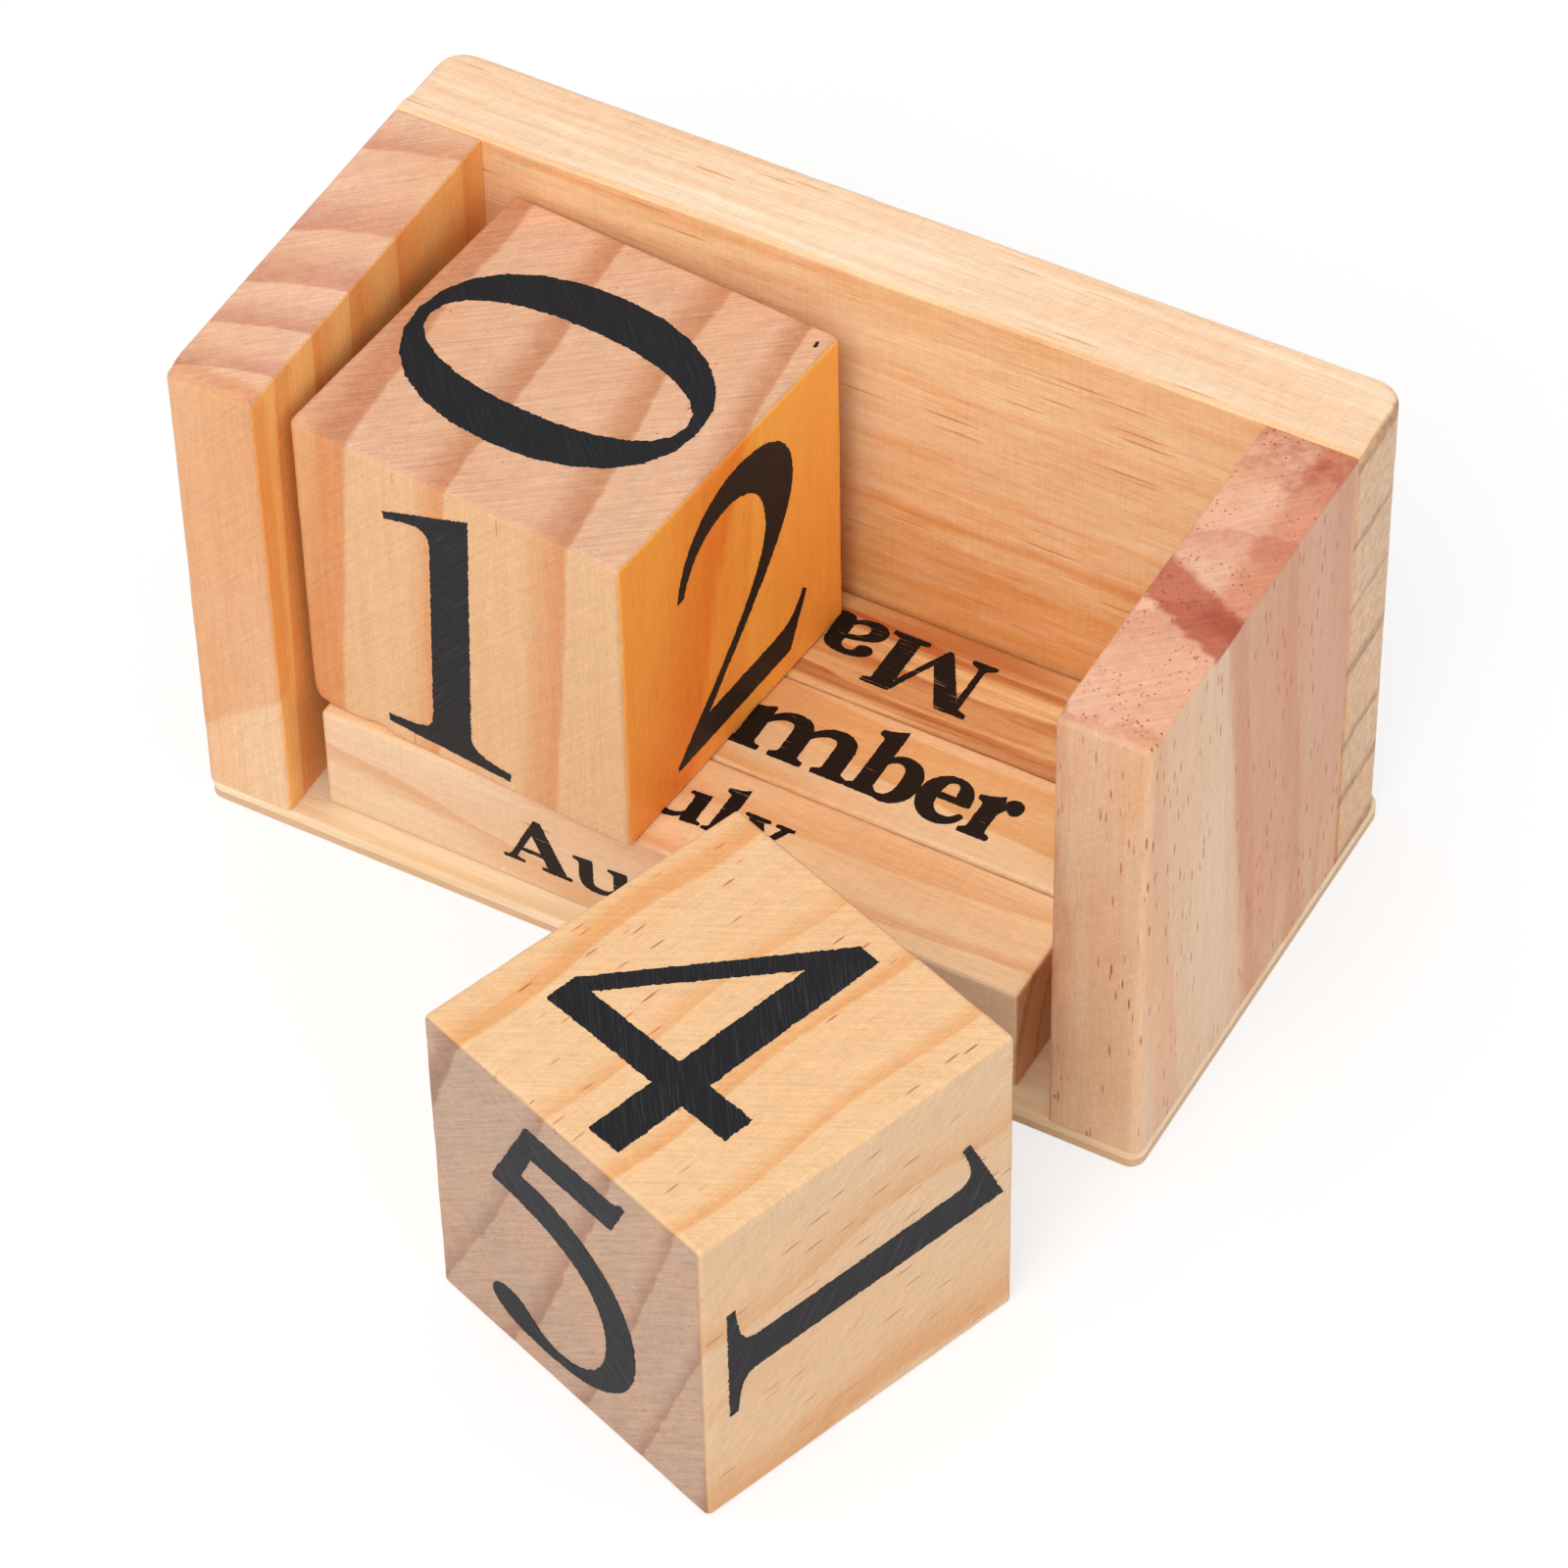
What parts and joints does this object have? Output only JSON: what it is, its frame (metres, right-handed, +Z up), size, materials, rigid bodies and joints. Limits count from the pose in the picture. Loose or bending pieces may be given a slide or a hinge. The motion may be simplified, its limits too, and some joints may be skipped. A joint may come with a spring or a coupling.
{
  "type": "block perpetual desk calendar",
  "caption": "Wooden block desk calendar: an open-fronted tray holds stacked month bars, with loose day cubes that lift out and turn to show the date.",
  "frame": {"origin": "centre of the base board's underside, on the desk", "axes": "+X to the viewer's right along the tray's width, +Y to the back, +Z up"},
  "size_m": [0.1104, 0.1144, 0.0616],
  "materials": {
    "base_plywood": "satin clear varnish on thin plywood, veneers showing at its edge",
    "back_pine": "satin clear varnish on planed pine, grain along X",
    "side_pine": "satin clear varnish on planed pine, grain upright",
    "bar_pine": "satin clear varnish on planed pine, grain along X",
    "cube_pine": "satin clear varnish on fine-sawn pine"
  },
  "bodies": {
    "tray": {"base_board": "base_plywood", "back_board": "back_pine", "left_side": "side_pine", "right_side": "side_pine"},
    "back_bar": {"month_bar_back": "bar_pine"},
    "middle_bar": {"month_bar_middle": "bar_pine"},
    "front_bar": {"month_bar_front": "bar_pine"},
    "left_cube": {"left_day_cube": "cube_pine"},
    "right_cube": {"right_day_cube": "cube_pine"}
  },
  "joints": [
    {"name": "back_bar_lift", "type": "slide", "parent": "tray", "child": "back_bar", "axis": [0, 0, 1], "range_m": [0, 0.06]},
    {"name": "middle_bar_lift", "type": "slide", "parent": "back_bar", "child": "middle_bar", "axis": [0, 0, 1], "range_m": [0, 0.06]},
    {"name": "front_bar_lift", "type": "slide", "parent": "middle_bar", "child": "front_bar", "axis": [0, 0, 1], "range_m": [0, 0.06]},
    {"name": "left_cube_lift", "type": "slide", "parent": "front_bar", "child": "left_cube", "axis": [0, 0, 1], "range_m": [0, 0.05]},
    {"name": "right_cube_turn", "type": "hinge", "parent": "tray", "child": "right_cube", "pos_m": [0.0262, -0.0609, 0.02], "axis": [0, 0, 1], "continuous": true}
  ]
}
